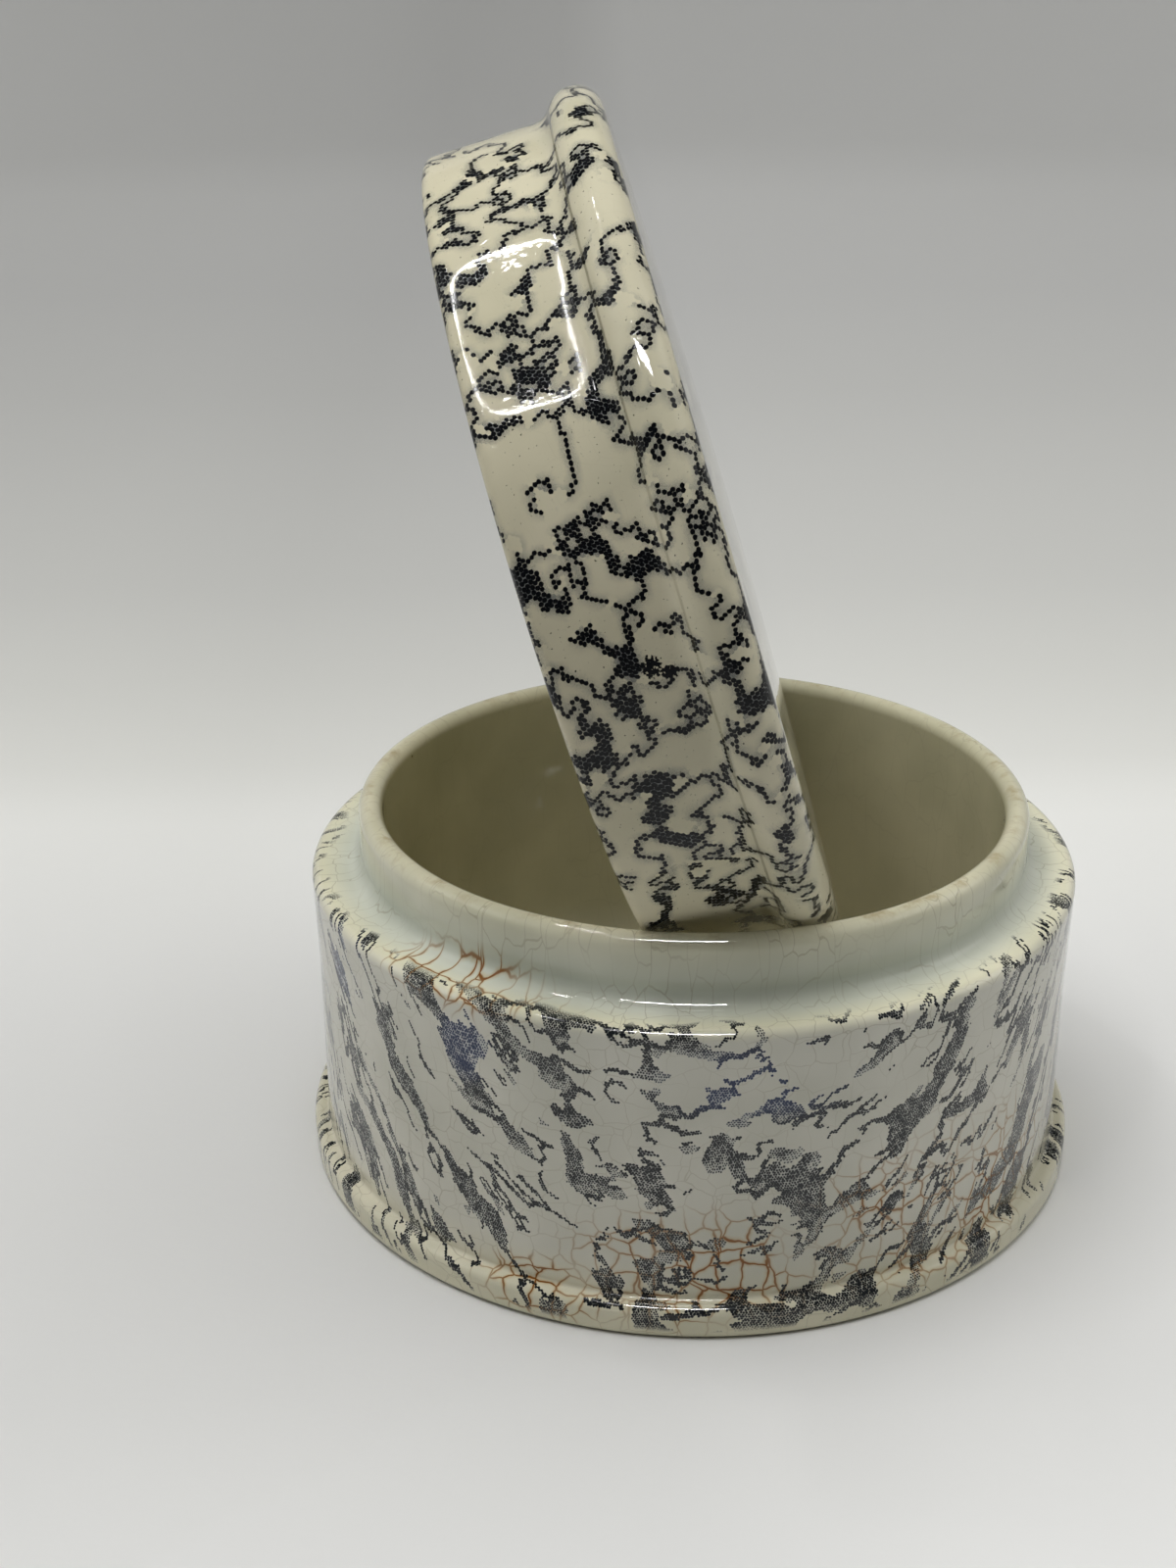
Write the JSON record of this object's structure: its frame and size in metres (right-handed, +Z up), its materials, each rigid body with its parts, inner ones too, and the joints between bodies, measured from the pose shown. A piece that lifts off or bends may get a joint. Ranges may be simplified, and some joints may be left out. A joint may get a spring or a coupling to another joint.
{
  "type": "toothpaste pot",
  "caption": "Round glazed earthenware pot with foot flange, ledge and neck, and a loose beaded cap lid that stands on edge in its mouth.",
  "frame": {"origin": "middle of the pot's foot, on the surface that it stands on", "axes": "+Z up along the pot's axis, +X the way that the top of the standing lid faces, +Y to the left of that"},
  "size_m": [0.0869, 0.0914, 0.1153],
  "materials": {
    "pot_glaze": "clear glossy lead glaze over off-white earthenware with a dark stippled marbled sheet print",
    "lid_glaze": "clear glossy lead glaze over cream earthenware with a black dotted meander sheet print"
  },
  "bodies": {
    "pot": {"pot": "pot_glaze"},
    "lid": {"lid": "lid_glaze"}
  },
  "joints": [
    {"name": "lid_lift", "type": "slide", "parent": "pot", "child": "lid", "axis": [0, 0, 1], "range_m": [0, 0.06]}
  ]
}
